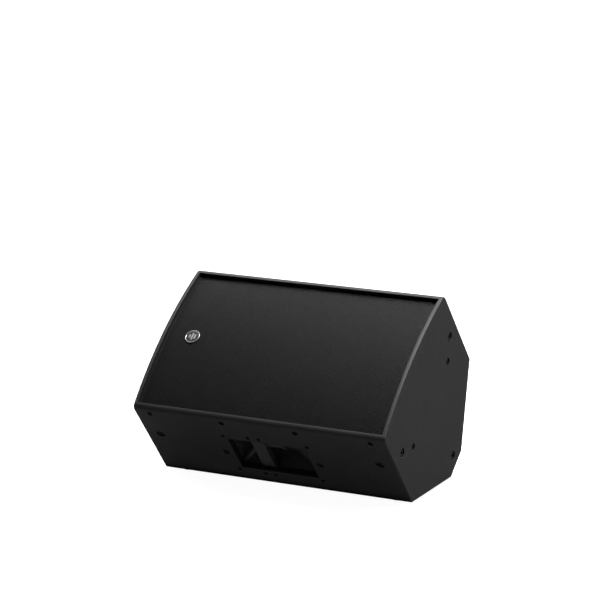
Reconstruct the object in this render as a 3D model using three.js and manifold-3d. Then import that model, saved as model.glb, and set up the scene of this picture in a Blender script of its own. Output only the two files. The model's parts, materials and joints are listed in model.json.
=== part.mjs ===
// Stage monitor wedge: a symmetrical plywood loudspeaker cabinet lying on one of its two slanted rear faces,
// with a 12 inch coaxial driver behind a curved steel grille. Millimetres.
//
// The cabinet is drawn in its own frame: x along its length, y across the front, z out of the front.
// One group then tilts it back onto its floor panel, and the origin ends up under the middle of its box.
import * as THREE from "three";
import { mergeVertices } from "three/addons/utils/BufferGeometryUtils.js";
import Module from "manifold-3d";

const wasm = await Module();
wasm.setup();

// ---------- driving dimensions ----------
const length = 600; // cabinet, end to end
const frontWidth = 388; // across the front, side panel to side panel
const sideDepth = 221; // front corner to where the rear starts to taper
const fullDepth = 349; // front corner to the spine
const spineWidth = 72; // narrow flat back
const bulge = 21; // rise of the curved front edge over its chord
const frontRound = 12.5; // roundover of the two long front edges
const ply = 15; // plywood thickness
const endLip = 9; // what is left of an end panel beside the grille
const sideLip = 13; // and of a side panel
const fit = 0.3; // gap where two pieces meet
const footHeight = 5;
const footRadius = 15;

const grilleRecess = 10; // front of the grille below the cabinet's front edge
const sheetSteel = 1.5;
const foamThickness = 4;
const baffleDrop = 24; // front of the baffle board below the front corners
const badgeRadius = 17;
const badgeFromEnd = 71; // badge centre to the left end
const badgeStem = 4;

const driverFlange = 155; // radius of the 12 inch frame
const driverCutout = driverFlange - 12.5;
const portRadius = 38;
const portWall = 3;
const portOffset = 225; // port centre from the middle of the cabinet
const portLength = 126;

const handleOpening = { width: 184, height: 104, middle: 124 }; // middle: distance below the front corner
const handleCupDepth = 44; // behind the panel
const cupWall = 3;
const gripOffset = -26.4; // the grip bar stands off centre, so the hand has the larger space
const gripWidth = 31;
const gripDepth = 7.5; // face of the grip below the panel's outer face
const gripScrewPitch = 25.4;

const m10 = { shank: 5, head: 9, bore: 10, sink: 1.2, headDepth: 4 };
const m8 = { shank: 4, head: 7, bore: 8, sink: 1.2, headDepth: 3.5 };
const screwHole = 2.6; // radius, grille and handle screws
const grilleScrewBore = 6; // counterbore radius of the grille screws
const boreDepth = 5.5;

// ---------- section of the cabinet, in y and z ----------
const half = frontWidth / 2;
const arcRadius = (half * half + bulge * bulge) / (2 * bulge);
const frontAt = (y) => bulge - arcRadius + Math.sqrt(arcRadius * arcRadius - y * y);
// The roundover touches the side panel's face and the curved front edge.
const round = { y: half - frontRound, reach: arcRadius - frontRound };
round.z = bulge - arcRadius + Math.sqrt(round.reach ** 2 - round.y ** 2);
round.end = Math.acos(round.y / round.reach);
const corner = {
  lowFront: [-half, 0],
  highFront: [half, 0],
  highRear: [half, -sideDepth],
  highSpine: [spineWidth / 2, -fullDepth],
  lowSpine: [-spineWidth / 2, -fullDepth],
  lowRear: [-half, -sideDepth],
};
const floorRun = half - spineWidth / 2;
const floorDrop = fullDepth - sideDepth;
const floorTilt = Math.atan2(floorDrop, floorRun); // tilt that lays the low rear face flat
const floorLength = Math.hypot(floorRun, floorDrop);

// ---------- materials ----------
function finish(color, roughness, metalness = 0) {
  return new THREE.MeshStandardMaterial({ color, roughness, metalness });
}
const material = {
  coating: finish(0x1c1c1c, 0.75),
  barePly: finish(0x8c6b47, 0.8),
  grille: finish(0x181818, 0.5, 0.4),
  foam: finish(0x0c0c0c, 1),
  badge: finish(0x17181c, 0.4),
  badgeRing: finish(0xc9cad1, 0.3, 0.9),
  cast: finish(0x2b2b2b, 0.5, 0.5),
  plastic: finish(0x141414, 0.55),
  steel: finish(0x202020, 0.45, 0.8),
  plated: finish(0xb9bbbd, 0.3, 1),
  ferrite: finish(0x3a3a3c, 0.6, 0.2),
  paper: finish(0x1a1a1a, 0.9),
  cloth: finish(0x3b352c, 0.95),
  copper: finish(0xa8642a, 0.35, 1),
  board: finish(0x1f4a2c, 0.6),
  rubber: finish(0x111111, 0.85),
  wadding: finish(0xd9d6cc, 1),
};

// ---------- shape helpers ----------
const strip = (geometry) => {
  const bare = geometry.clone();
  for (const name of ["normal", "uv"]) bare.deleteAttribute(name);
  return mergeVertices(bare, 1e-4);
};

function solid(geometry) {
  const merged = strip(geometry);
  const triVerts = new Uint32Array(merged.index.array);
  const vertProperties = merged.attributes.position.array;
  const made = new wasm.Manifold(new wasm.Mesh({ numProp: 3, vertProperties, triVerts }));
  if (made.volume() > 0) return made;
  triVerts.reverse(); // inside out: every face turns round
  return new wasm.Manifold(new wasm.Mesh({ numProp: 3, vertProperties, triVerts }));
}

function geometryOf(made) {
  const mesh = made.getMesh();
  const geometry = new THREE.BufferGeometry();
  geometry.setAttribute("position", new THREE.BufferAttribute(new Float32Array(mesh.vertProperties), 3));
  geometry.setIndex(new THREE.BufferAttribute(new Uint32Array(mesh.triVerts), 1));
  geometry.computeVertexNormals();
  return geometry;
}

function addPart(group, name, made, finished) {
  const mesh = new THREE.Mesh(geometryOf(made), finished);
  mesh.name = name;
  group.add(mesh);
  return mesh;
}

const cut = (made, ...tools) => tools.flat().reduce((left, tool) => left.subtract(tool), made);
const join = (...pieces) => pieces.flat().reduce((all, piece) => all.add(piece));

// An outline of [a, b] points, pushed from c = low to c = high.
function prism(outline, low, high, toFrame) {
  const shape = new THREE.Shape(outline.map(([a, b]) => new THREE.Vector2(a, b)));
  const geometry = new THREE.ExtrudeGeometry(shape, { depth: high - low, bevelEnabled: false });
  geometry.translate(0, 0, low);
  return solid(toFrame ? geometry.applyMatrix4(toFrame) : geometry);
}
// The outline is in y and z, and the push is along x.
const alongX = new THREE.Matrix4().makeBasis(
  new THREE.Vector3(0, 1, 0),
  new THREE.Vector3(0, 0, 1),
  new THREE.Vector3(1, 0, 0),
);
const sectionPrism = (outline, low, high) => prism(outline, low, high, alongX);

function block([x0, x1], [y0, y1], [z0, z1], toFrame) {
  const geometry = new THREE.BoxGeometry(x1 - x0, y1 - y0, z1 - z0);
  geometry.translate((x0 + x1) / 2, (y0 + y1) / 2, (z0 + z1) / 2);
  return solid(toFrame ? geometry.applyMatrix4(toFrame) : geometry);
}

// A cylinder along z between two heights, in a frame given by a matrix.
function rod(x, y, radius, low, high, toFrame, sides = 20) {
  const geometry = new THREE.CylinderGeometry(radius, radius, high - low, sides);
  geometry.rotateX(Math.PI / 2);
  geometry.translate(x, y, (low + high) / 2);
  return solid(toFrame ? geometry.applyMatrix4(toFrame) : geometry);
}

// A profile of [radius, z] points turned about z. It starts and ends on the axis, or closes on itself.
function turned(profile, sides = 28, x = 0, y = 0, toFrame) {
  const onAxis = profile[0][0] === 0;
  const points = (onAxis ? profile : [...profile, profile[0]]).map(([r, z]) => new THREE.Vector2(r, z));
  const geometry = new THREE.LatheGeometry(points, sides);
  geometry.rotateX(Math.PI / 2);
  geometry.translate(x, y, 0);
  return solid(toFrame ? geometry.applyMatrix4(toFrame) : geometry);
}

// Points along a circle, from one angle to another.
function circleArc([cy, cz], radius, from, to, steps = 5) {
  return Array.from({ length: steps + 1 }, (_, i) => {
    const angle = from + ((to - from) * i) / steps;
    return [cy + radius * Math.cos(angle), cz + radius * Math.sin(angle)];
  });
}

// The curved front edge between two y values, lowered by drop.
const arcEdge = (from, to, drop, steps = 14) =>
  Array.from({ length: steps + 1 }, (_, i) => {
    const y = from + ((to - from) * i) / steps;
    return [y, frontAt(y) - drop];
  });

// ---------- frames of the flat panels ----------
// x stays along the cabinet, y runs from one corner to the next, and z points out of the panel.
function panelFrame(from, to) {
  const run = [to[0] - from[0], to[1] - from[1]];
  const frame = new THREE.Matrix4().makeRotationX(Math.atan2(run[1], run[0]));
  return frame.setPosition(0, (from[0] + to[0]) / 2, (from[1] + to[1]) / 2);
}
const lowSide = panelFrame(corner.lowRear, corner.lowFront);
const highSide = panelFrame(corner.highFront, corner.highRear);
const rear = panelFrame(corner.highRear, corner.highSpine);
const rightEnd = new THREE.Matrix4()
  .makeBasis(new THREE.Vector3(0, 1, 0), new THREE.Vector3(0, 0, 1), new THREE.Vector3(1, 0, 0))
  .setPosition(length / 2, 0, 0);
const leftEnd = new THREE.Matrix4()
  .makeBasis(new THREE.Vector3(0, -1, 0), new THREE.Vector3(0, 0, 1), new THREE.Vector3(-1, 0, 0))
  .setPosition(-length / 2, 0, 0);
const fromFront = (distance) => sideDepth / 2 - distance; // y in lowSide of a place below the front corner

const cabinet = new THREE.Group();
const badge = new THREE.Group();
cabinet.add(badge);

// ---------- rigging points: plugged threaded holes, the same on both ends ----------
const endPoints = [
  { y: -155, z: -93.5, size: m10 },
  { y: 155, z: -93.5, size: m10 },
  { y: 0, z: -318, size: m10 },
  { y: -114, z: -129, size: m8 },
  { y: 114, z: -129, size: m8 },
];
const sidePoints = [
  { x: -263, y: fromFront(90), size: m10 },
  { x: 263, y: fromFront(90), size: m10 },
  { x: -113, y: fromFront(125.5), size: m8 },
  { x: 113, y: fromFront(125.5), size: m8 },
];
const highPoints = sidePoints.slice(0, 2).map((point) => ({ ...point, y: -point.y }));
const grilleScrews = [-263, -87.5, 87.5, 263].map((x) => ({ x, below: 16.5 }));

const riggingHole = (point, frame) => [
  rod(point.x, point.y, point.size.bore, -boreDepth, 1, frame, 16),
  rod(point.x, point.y, point.size.shank + fit, -ply - 1, 1, frame, 12),
];
function riggingPlug(point, frame) {
  const { shank, head, sink, headDepth } = point.size;
  return join(
    rod(point.x, point.y, head, -sink - headDepth, -sink, frame, 16),
    rod(point.x, point.y, shank, -ply - 8, -sink - headDepth + 0.5, frame, 12),
  );
}
const counterbored = (x, y, frame) => [
  rod(x, y, grilleScrewBore, -boreDepth, 1, frame, 12),
  rod(x, y, screwHole, -ply - 1, 1, frame, 10),
];

// ---------- cabinet shell ----------
const pole = { bore: 17.8, wall: 2.2, depth: 70, z: -176, flange: 34 };
const poleHole = rod(0, pole.z, pole.bore + pole.wall + fit, -ply - 1, 1, leftEnd, 20);
const poleSeat = rod(0, pole.z, pole.flange + fit, -3, 1, leftEnd, 28);
function endPanel(frame, sign) {
  const outline = [
    corner.lowRear,
    ...circleArc([-round.y, round.z], frontRound, Math.PI, Math.PI - round.end),
    ...circleArc([0, bulge - arcRadius], arcRadius, Math.PI - round.end, round.end, 16).slice(1, -1),
    ...circleArc([round.y, round.z], frontRound, round.end, 0),
    corner.highRear,
    corner.highSpine,
    corner.lowSpine,
  ];
  const [inner, outer] = [length / 2 - ply, length / 2];
  const range = sign > 0 ? [inner, outer] : [-outer, -inner];
  const lipRange = sign > 0 ? [inner - 1, outer - endLip] : [endLip - outer, 1 - inner];
  const rabbet = block(lipRange, [sideLip - half, half - sideLip], [-baffleDrop - fit, bulge + 1]);
  const holes = endPoints.flatMap((point) => riggingHole({ ...point, x: sign * point.y, y: point.z }, frame));
  return cut(sectionPrism(outline, ...range), rabbet, holes, sign < 0 ? [poleHole, poleSeat] : []);
}

// A panel between two corners, mitred to the panels beside it.
function mitred(before, from, to, after) {
  const unit = (a, b) => {
    const size = Math.hypot(b[0] - a[0], b[1] - a[1]);
    return [(b[0] - a[0]) / size, (b[1] - a[1]) / size];
  };
  const run = unit(from, to);
  const inward = [run[1], -run[0]];
  const meet = (one, other) => {
    const turn = Math.acos(one[0] * other[0] + one[1] * other[1]);
    return ply * Math.tan(turn / 2);
  };
  const startIn = meet(unit(before, from), run);
  const endIn = meet(run, unit(to, after));
  const at = (point, along, depth) => [
    point[0] + run[0] * along + inward[0] * depth,
    point[1] + run[1] * along + inward[1] * depth,
  ];
  return [at(from, fit, 0), at(to, -fit, 0), at(to, -fit - endIn, ply), at(from, fit + startIn, ply)];
}

// A side panel runs from its rear mitre to the rounded front edge, with a rebate for the grille.
function sideOutline(sign) {
  const mitreIn = ply * Math.tan((Math.PI / 2 - floorTilt) / 2);
  const right = [
    [half, -sideDepth + fit],
    ...circleArc([round.y, round.z], frontRound, 0, round.end),
    [half - sideLip, frontAt(half - sideLip)],
    [half - sideLip, -baffleDrop - fit],
    [half - ply, -baffleDrop - fit],
    [half - ply, -sideDepth + fit + mitreIn],
  ];
  return right.map(([y, z]) => [sign * y, z]);
}
const inside = length / 2 - ply - fit; // half length of everything between the end panels

const cupHalf = handleOpening.width / 2;
const cupLow = fromFront(handleOpening.middle + handleOpening.height / 2);
const cupHigh = fromFront(handleOpening.middle - handleOpening.height / 2);
const handleHole = block([-cupHalf, cupHalf], [cupLow, cupHigh], [-ply - 1, 1], lowSide);
const screwRows = [
  { xs: [-cupHalf - 9, cupHalf + 9], belows: [64.5, 185.5] },
  { xs: [gripOffset - gripScrewPitch / 2, gripOffset + gripScrewPitch / 2], belows: [60.7, 189.4] },
];
const handleScrews = screwRows.flatMap(({ xs, belows }) =>
  xs.flatMap((x) => belows.map((below) => ({ x, below }))),
);

addPart(cabinet, "end_panel_right", endPanel(rightEnd, 1), material.coating);
addPart(cabinet, "end_panel_left", endPanel(leftEnd, -1), material.coating);
addPart(
  cabinet,
  "handle_side_panel",
  cut(
    sectionPrism(sideOutline(-1), -inside, inside),
    handleHole,
    sidePoints.flatMap((point) => riggingHole(point, lowSide)),
    grilleScrews.flatMap(({ x, below }) => counterbored(x, fromFront(below), lowSide)),
    handleScrews.map(({ x, below }) => rod(x, fromFront(below), screwHole, -ply - 1, 1, lowSide, 10)),
  ),
  material.coating,
);
addPart(
  cabinet,
  "top_side_panel",
  cut(
    sectionPrism(sideOutline(1), -inside, inside),
    highPoints.flatMap((point) => riggingHole(point, highSide)),
    grilleScrews.flatMap(({ x, below }) => counterbored(x, -fromFront(below), highSide)),
  ),
  material.coating,
);

const floorOutline = mitred(corner.highSpine, corner.lowSpine, corner.lowRear, corner.lowFront);
const rearOutline = mitred(corner.highFront, corner.highRear, corner.highSpine, corner.lowSpine);
const spineOutline = mitred(corner.highRear, corner.highSpine, corner.lowSpine, corner.lowRear);
const dish = { width: 150, height: 92, cornerIn: 12, lip: 9, depth: 26, wall: 2.5, socketPitch: 62 };
const dishHole = block(
  [-dish.width / 2 + dish.lip - fit, dish.width / 2 - dish.lip + fit],
  [-dish.height / 2 + dish.lip - fit, dish.height / 2 - dish.lip + fit],
  [-ply - 1, 1],
  rear,
);
addPart(cabinet, "floor_panel", sectionPrism(floorOutline, -inside, inside), material.coating);
addPart(cabinet, "rear_panel", cut(sectionPrism(rearOutline, -inside, inside), dishHole), material.coating);
addPart(cabinet, "spine_panel", sectionPrism(spineOutline, -inside, inside), material.coating);

// ---------- baffle board, brace and wadding ----------
const baffleHalf = half - ply - fit;
const baffle = block([-inside, inside], [-baffleHalf, baffleHalf], [-baffleDrop - ply, -baffleDrop]);
const throughBaffle = (x, radius, sides) =>
  rod(x, 0, radius, -baffleDrop - ply - 1, -baffleDrop + 1, null, sides);
addPart(
  cabinet,
  "baffle_board",
  cut(
    baffle,
    throughBaffle(0, driverCutout, 36),
    [-portOffset, portOffset].map((x) => throughBaffle(x, portRadius + portWall + fit, 24)),
  ),
  material.coating,
);

// A window brace across the widest part of the rear, tied into both tapering panels.
const brace = { thickness: 15, z: -sideDepth + 8, rail: 34 };
const taperAt = (z) => half - ((-sideDepth - z) * floorRun) / floorDrop; // outer half width at a depth
const taperIn = ply / Math.sin(floorTilt) + 2 * fit; // a tapering panel, measured along y
const braceOutline = (z) => taperAt(z) - taperIn;
const braceBottom = brace.z - brace.thickness;
const braceWidth = braceOutline(braceBottom);
addPart(
  cabinet,
  "window_brace",
  cut(
    block([-inside, inside], [-braceWidth, braceWidth], [braceBottom, brace.z]),
    [-1, 1].map((side) =>
      block(
        [side * brace.rail * 0.5, side * (inside - brace.rail)].sort((a, b) => a - b),
        [-braceWidth + brace.rail, braceWidth - brace.rail],
        [braceBottom - 1, brace.z + 1],
      ),
    ),
  ),
  material.barePly,
);
const wadding = { thickness: 20, width: 420, height: 96 };
addPart(
  cabinet,
  "damping_pad",
  block(
    [-wadding.width / 2, wadding.width / 2],
    [-wadding.height / 2, wadding.height / 2],
    [-ply - fit - wadding.thickness, -ply - fit],
    highSide,
  ),
  material.wadding,
);

// ---------- grille ----------
const grilleHalf = half - sideLip - 0.5; // across the front
const grilleEnd = length / 2 - endLip - 0.5; // along the cabinet
const foldEnd = (y) => [y, -baffleDrop + 3];
const badgeX = -length / 2 + badgeFromEnd;
const badgeHole = rod(badgeX, 0, badgeStem + 0.5, -10, bulge + 5, null, 16);
const grilleOutline = [
  ...arcEdge(-grilleHalf, grilleHalf, grilleRecess, 16),
  foldEnd(grilleHalf),
  foldEnd(grilleHalf - sheetSteel),
  ...arcEdge(grilleHalf - sheetSteel, -grilleHalf + sheetSteel, grilleRecess + sheetSteel, 16),
  foldEnd(-grilleHalf + sheetSteel),
  foldEnd(-grilleHalf),
];
const foamHalf = grilleHalf - sheetSteel - 1;
const foamDrop = grilleRecess + sheetSteel + fit;
const foamOutline = [
  ...arcEdge(-foamHalf, foamHalf, foamDrop, 12),
  ...arcEdge(foamHalf, -foamHalf, foamDrop + foamThickness, 12),
];
const grille = sectionPrism(grilleOutline, -grilleEnd, grilleEnd);
addPart(cabinet, "grille_sheet", cut(grille, badgeHole), material.grille);
const foam = sectionPrism(foamOutline, -grilleEnd + 2, grilleEnd - 2);
const foamHole = rod(badgeX, 0, badgeRadius - 5, -10, bulge + 5, null, 20);
addPart(cabinet, "grille_foam", cut(foam, foamHole), material.foam);

// ---------- badge: it turns on its stem, so that it stands upright either way the cabinet is used ----------
const badgeBack = bulge - grilleRecess + 0.4;
const badgeFace = badgeBack + 2;
const ringInner = badgeRadius - 2.5;
addPart(
  badge,
  "badge_disc",
  turned(
    [
      [0, badgeFace],
      [ringInner - fit, badgeFace],
      [ringInner - fit, badgeBack],
      [badgeStem, badgeBack],
      [badgeStem, badgeBack - 4.5],
      [0, badgeBack - 4.5],
    ],
    28,
    badgeX,
  ),
  material.badge,
);
addPart(
  badge,
  "badge_ring",
  turned(
    [
      [ringInner, badgeBack],
      [badgeRadius, badgeBack],
      [badgeRadius, badgeFace + 0.6],
      [ringInner, badgeFace + 0.6],
    ],
    28,
    badgeX,
  ),
  material.badgeRing,
);
const clipTop = bulge - grilleRecess - sheetSteel - 0.6;
addPart(
  badge,
  "badge_clip",
  turned(
    [
      [badgeStem + fit, clipTop - 1],
      [badgeStem + 5, clipTop - 1],
      [badgeStem + 5, clipTop],
      [badgeStem + fit, clipTop],
    ],
    20,
    badgeX,
  ),
  material.plated,
);

// ---------- coaxial driver: woofer ----------
const frameFront = -baffleDrop + 5;
const frameBack = -baffleDrop + fit;
const rimRadius = driverFlange - 17; // inner radius of the frame's rim
const shelf = -84; // the ledge inside the basket that the spider is glued to
const basketBack = shelf - 8;
const basketShell = turned(
  [
    [driverFlange, frameBack],
    [driverFlange, frameFront],
    [rimRadius, frameFront],
    [rimRadius, -baffleDrop - 2],
    [92, shelf],
    [78, shelf],
    [78, basketBack + 4],
    [60, basketBack + 4],
    [60, basketBack],
    [95, basketBack],
    [rimRadius + 3, -baffleDrop - 4],
    [rimRadius + 3, frameBack],
  ],
  36,
);
const turn = (angle) => new THREE.Matrix4().makeRotationZ(angle);
const basketWindows = [0, 1, 2, 3, 4, 5].map((i) =>
  block([78, driverFlange + 15], [-28, 28], [shelf + 7, -38], turn((i * Math.PI) / 3)),
);
addPart(cabinet, "woofer_basket", cut(basketShell, basketWindows), material.cast);

const coilInner = 37.2;
const coilOuter = 38;
const coneEdge = frameFront;
const coneRim = [rimRadius - 24, rimRadius - 17];
const coneNeck = -70;
const surroundFloor = coneEdge + fit;
const rollMiddle = (rimRadius + coneRim[1] + 0.7) / 2;
const roll = (radius, base, from, to) => circleArc([rollMiddle, base], radius, from, to, 8);
addPart(
  cabinet,
  "woofer_surround",
  turned(
    [
      [rimRadius + 12, surroundFloor],
      [rimRadius + 12, surroundFloor + 1.2],
      ...roll(8.6, surroundFloor + 1.2, 0, Math.PI),
      [coneRim[0], surroundFloor + 1.2],
      [coneRim[0], surroundFloor],
      ...roll(7.4, surroundFloor, Math.PI, 0),
    ],
    32,
  ),
  material.rubber,
);
const cone = turned(
  [
    [coneRim[0], coneEdge],
    [coneRim[1], coneEdge],
    [coneRim[1], coneEdge - 1.2],
    [coneRim[0] + 1, coneEdge - 1.2],
    [coilOuter + fit, coneNeck - 1.6],
    [coilOuter + fit, coneNeck],
  ],
  32,
);
addPart(cabinet, "woofer_cone", cone, material.paper);
const voiceCoil = turned(
  [
    [coilInner, -107],
    [coilOuter, -107],
    [coilOuter, coneNeck + 2],
    [coilInner, coneNeck + 2],
  ],
  28,
);
addPart(cabinet, "voice_coil", voiceCoil, material.copper);

const spiderOuter = 88;
const spiderWaves = 4;
const spiderAt = (share) => {
  const radius = coilOuter + fit + 2 + share * (spiderOuter - 12 - coilOuter - 2);
  const z = -77 + (shelf + 1.5 + 77) * share + 1.6 * Math.sin(share * spiderWaves * 2 * Math.PI);
  return [radius, z];
};
const spiderLine = Array.from({ length: 17 }, (_, i) => spiderAt(i / 16));
const spiderTop = [[coilOuter + 2 * fit, -77], ...spiderLine, [spiderOuter, shelf + 1.5]];
const spider = turned([...spiderTop, ...spiderTop.map(([r, z]) => [r, z - 0.9]).reverse()], 24);
addPart(cabinet, "woofer_spider", spider, material.cloth);

const plateTop = basketBack - fit;
addPart(
  cabinet,
  "magnet_top_plate",
  turned(
    [
      [39.2, plateTop - 8],
      [76, plateTop - 8],
      [76, plateTop],
      [39.2, plateTop],
    ],
    28,
  ),
  material.plated,
);
const ferriteTop = plateTop - 8 - fit;
addPart(
  cabinet,
  "woofer_magnet",
  turned(
    [
      [50, ferriteTop - 20],
      [90, ferriteTop - 20],
      [90, ferriteTop],
      [50, ferriteTop],
    ],
    28,
  ),
  material.ferrite,
);
const yokeTop = ferriteTop - 20 - fit;
const yokeBack = yokeTop - 10;
const poleTop = plateTop - 0.5;
addPart(
  cabinet,
  "magnet_yoke",
  turned(
    [
      [20, yokeBack],
      [78, yokeBack],
      [78, yokeTop],
      [36, yokeTop],
      [36, poleTop],
      [20, poleTop],
    ],
    28,
  ),
  material.plated,
);

// ---------- coaxial driver: high frequencies, through the pole ----------
const hornMouth = -62;
addPart(
  cabinet,
  "hf_horn",
  turned(
    [
      [12.5, yokeBack],
      [19.6, yokeBack],
      [19.6, poleTop + 1],
      [26, poleTop + 9],
      [35.2, hornMouth],
      [33.6, hornMouth],
      [24, poleTop + 9],
      [17.6, poleTop],
    ],
    24,
  ),
  material.plastic,
);
const hfFront = yokeBack - fit;
const hfBack = hfFront - 34;
addPart(
  cabinet,
  "hf_magnet",
  turned(
    [
      [21, hfBack],
      [50, hfBack],
      [50, hfFront],
      [12.5, hfFront],
    ],
    24,
  ),
  material.ferrite,
);
const domeEdge = hfBack - 1;
const domeRise = 6;
const domeAt = (radius, share, back) => [
  radius * Math.sin(share),
  domeEdge - back - domeRise * Math.cos(share),
];
const domeSteps = [0, 0.4, 0.8, 1.2, Math.PI / 2];
const domeInside = domeSteps.map((t) => domeAt(22, t, 0));
const domeOutside = domeSteps.map((t) => domeAt(23, t, 0.8));
addPart(cabinet, "hf_diaphragm", turned([...domeInside, ...domeOutside.reverse()], 24), material.plated);
const coverDepth = 18;
addPart(
  cabinet,
  "hf_cover",
  turned(
    [
      [0, hfBack - coverDepth],
      [50, hfBack - coverDepth],
      [50, hfBack - fit],
      [32, hfBack - fit],
      [32, hfBack - coverDepth + 4],
      [0, hfBack - coverDepth + 4],
    ],
    24,
  ),
  material.plastic,
);

// ---------- reflex ports ----------
for (const [side, name] of [
  [-1, "port_tube_left"],
  [1, "port_tube_right"],
]) {
  const outer = portRadius + portWall;
  const tube = turned(
    [
      [portRadius, -baffleDrop + 3 - portLength],
      [outer, -baffleDrop + 3 - portLength],
      [outer, -baffleDrop + fit],
      [outer + 8, -baffleDrop + fit],
      [outer + 8, -baffleDrop + 3],
      [portRadius + 4, -baffleDrop + 3],
      [portRadius, -baffleDrop - 4],
    ],
    24,
    side * portOffset,
  );
  addPart(cabinet, name, tube, material.plastic);
}

// ---------- pole socket in the left end ----------
const poleOuter = pole.bore + pole.wall;
const poleProfile = [
  [0, -pole.depth],
  [poleOuter, -pole.depth],
  [poleOuter, -3 + fit],
  [pole.flange, -3 + fit],
  [pole.flange, -0.4],
  [pole.bore + 1.5, -0.4],
  [pole.bore, -2],
  [pole.bore, -pole.depth + 3],
  [0, -pole.depth + 3],
];
addPart(cabinet, "pole_socket", turned(poleProfile, 28, 0, pole.z, leftEnd), material.plastic);

// ---------- handle: a cast grip and a moulded cup, both screwed on from outside ----------
const behind = -ply - fit; // z in lowSide of what lies against the back of the panel
const cupFloor = behind - handleCupDepth;
const flange = { out: 26, thickness: 3 };
// The cup is deep under the grip, and ramps up to the far edge of the opening.
const cavityOutline = [
  [-cupHalf, behind + 1],
  [-cupHalf, behind - 4],
  [-cupHalf + 8, cupFloor],
  [gripOffset + 44, cupFloor],
  [cupHalf, behind - 5],
  [cupHalf, behind + 1],
];
const bodyOutline = [
  [-cupHalf - cupWall, behind - 1],
  [-cupHalf - cupWall, behind - 4],
  [-cupHalf + 8 - cupWall, cupFloor - cupWall],
  [gripOffset + 45, cupFloor - cupWall],
  [cupHalf + cupWall, behind - 5 - cupWall],
  [cupHalf + cupWall, behind - 1],
];
// Outlines in x and z of the panel's frame, pushed along its y.
const alongPanelY = new THREE.Matrix4().makeBasis(
  new THREE.Vector3(1, 0, 0),
  new THREE.Vector3(0, 0, 1),
  new THREE.Vector3(0, -1, 0),
);
const acrossPanel = (outline, low, high) =>
  prism(outline, -high, -low, new THREE.Matrix4().multiplyMatrices(lowSide, alongPanelY));
const cupFlange = block(
  [-cupHalf - flange.out, cupHalf + flange.out],
  [cupLow - flange.out, cupHigh + flange.out],
  [behind - flange.thickness, behind],
  lowSide,
);

const grip = { foot: 24, thickness: 14, face: -gripDepth, brace: 8 };
grip.web = { width: 41, height: 33, thickness: 4 };
const gripLeft = gripOffset - gripWidth / 2;
const gripRight = gripOffset + gripWidth / 2;
// The bar stands proud of its feet, which lie behind the panel.
const arch = [
  [cupLow - grip.foot, behind],
  [cupLow + fit, behind],
  [cupLow + fit, grip.face - 3],
  [cupLow + 8, grip.face],
  [cupHigh - 8, grip.face],
  [cupHigh - fit, grip.face - 3],
  [cupHigh - fit, behind],
  [cupHigh + grip.foot, behind],
  [cupHigh + grip.foot, behind - 5],
  [cupHigh - 12, behind - 5],
  [cupHigh - 20, grip.face - grip.thickness],
  [cupLow + 20, grip.face - grip.thickness],
  [cupLow + 12, behind - 5],
  [cupLow - grip.foot, behind - 5],
];
const gripBar = prism(arch, gripLeft, gripRight, new THREE.Matrix4().multiplyMatrices(lowSide, alongX));
const webTop = cupHigh - fit;
const gripWeb = prism(
  [
    [gripRight - 1, webTop + 8],
    [gripRight + grip.web.width, webTop + 8],
    [gripRight + grip.web.width - 4, webTop - grip.web.height + 9],
    [gripRight + grip.web.width + 5, webTop - grip.web.height - 4],
    [gripRight + grip.web.width - 12, webTop - grip.web.height + 3],
    [gripRight - 1, webTop - grip.web.height],
  ],
  behind - grip.web.thickness,
  behind,
  lowSide,
);
// A diagonal brace runs from the bar to the corner screw.
const eye = { x: -101, y: fromFront(185.5), radius: 8 };
const braceStart = { x: gripLeft + 1, y: cupHigh - 40 };
const braceRun = Math.atan2(eye.y - braceStart.y, eye.x - braceStart.x);
const braceSide = [(-Math.sin(braceRun) * grip.brace) / 2, (Math.cos(braceRun) * grip.brace) / 2];
const gripBrace = prism(
  [
    [braceStart.x + braceSide[0] + 3, braceStart.y + braceSide[1]],
    [eye.x + braceSide[0], eye.y + braceSide[1]],
    [eye.x - braceSide[0], eye.y - braceSide[1]],
    [braceStart.x - braceSide[0] + 3, braceStart.y - braceSide[1]],
  ],
  behind - 5,
  behind,
  lowSide,
);
const gripScrewHoles = handleScrews.map(({ x, below }) =>
  rod(x, fromFront(below), screwHole, behind - 8, behind + 1, lowSide, 10),
);
const gripEye = rod(eye.x, eye.y, eye.radius, behind - 5, behind, lowSide, 16);
const gripCasting = join(gripBar, gripWeb, gripBrace, gripEye);
addPart(cabinet, "handle_grip", cut(gripCasting, gripScrewHoles), material.cast);

const gripLength = [cupLow - grip.foot - 1, cupHigh + grip.foot + 1];
const webRight = gripRight + grip.web.width + 1;
const aroundGrip = [
  block([gripLeft - 1, gripRight + 1], gripLength, [behind - 6, behind + 1], lowSide),
  block([gripRight, webRight], [cupHigh - 1, cupHigh + 9], [behind - 5, behind + 1], lowSide),
  rod(eye.x, eye.y, eye.radius + 1, behind - 6, behind + 1, lowSide, 16),
  prism(
    [
      [braceStart.x + 2 * braceSide[0], braceStart.y + 2 * braceSide[1]],
      [eye.x + 1.3 * braceSide[0], eye.y + 1.3 * braceSide[1]],
      [eye.x - 1.3 * braceSide[0], eye.y - 1.3 * braceSide[1]],
      [braceStart.x - 2 * braceSide[0], braceStart.y - 2 * braceSide[1]],
    ],
    behind - 6,
    behind + 1,
    lowSide,
  ),
];
const cupBody = acrossPanel(bodyOutline, cupLow - cupWall, cupHigh + cupWall);
addPart(
  cabinet,
  "handle_cup",
  cut(
    join(cupFlange, cupBody),
    acrossPanel(cavityOutline, cupLow, cupHigh),
    aroundGrip,
    gripScrewHoles,
    sidePoints.map(({ x, y, size }) => rod(x, y, size.shank + 1, behind - 5, behind + 1, lowSide, 12)),
  ),
  material.plastic,
);

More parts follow.
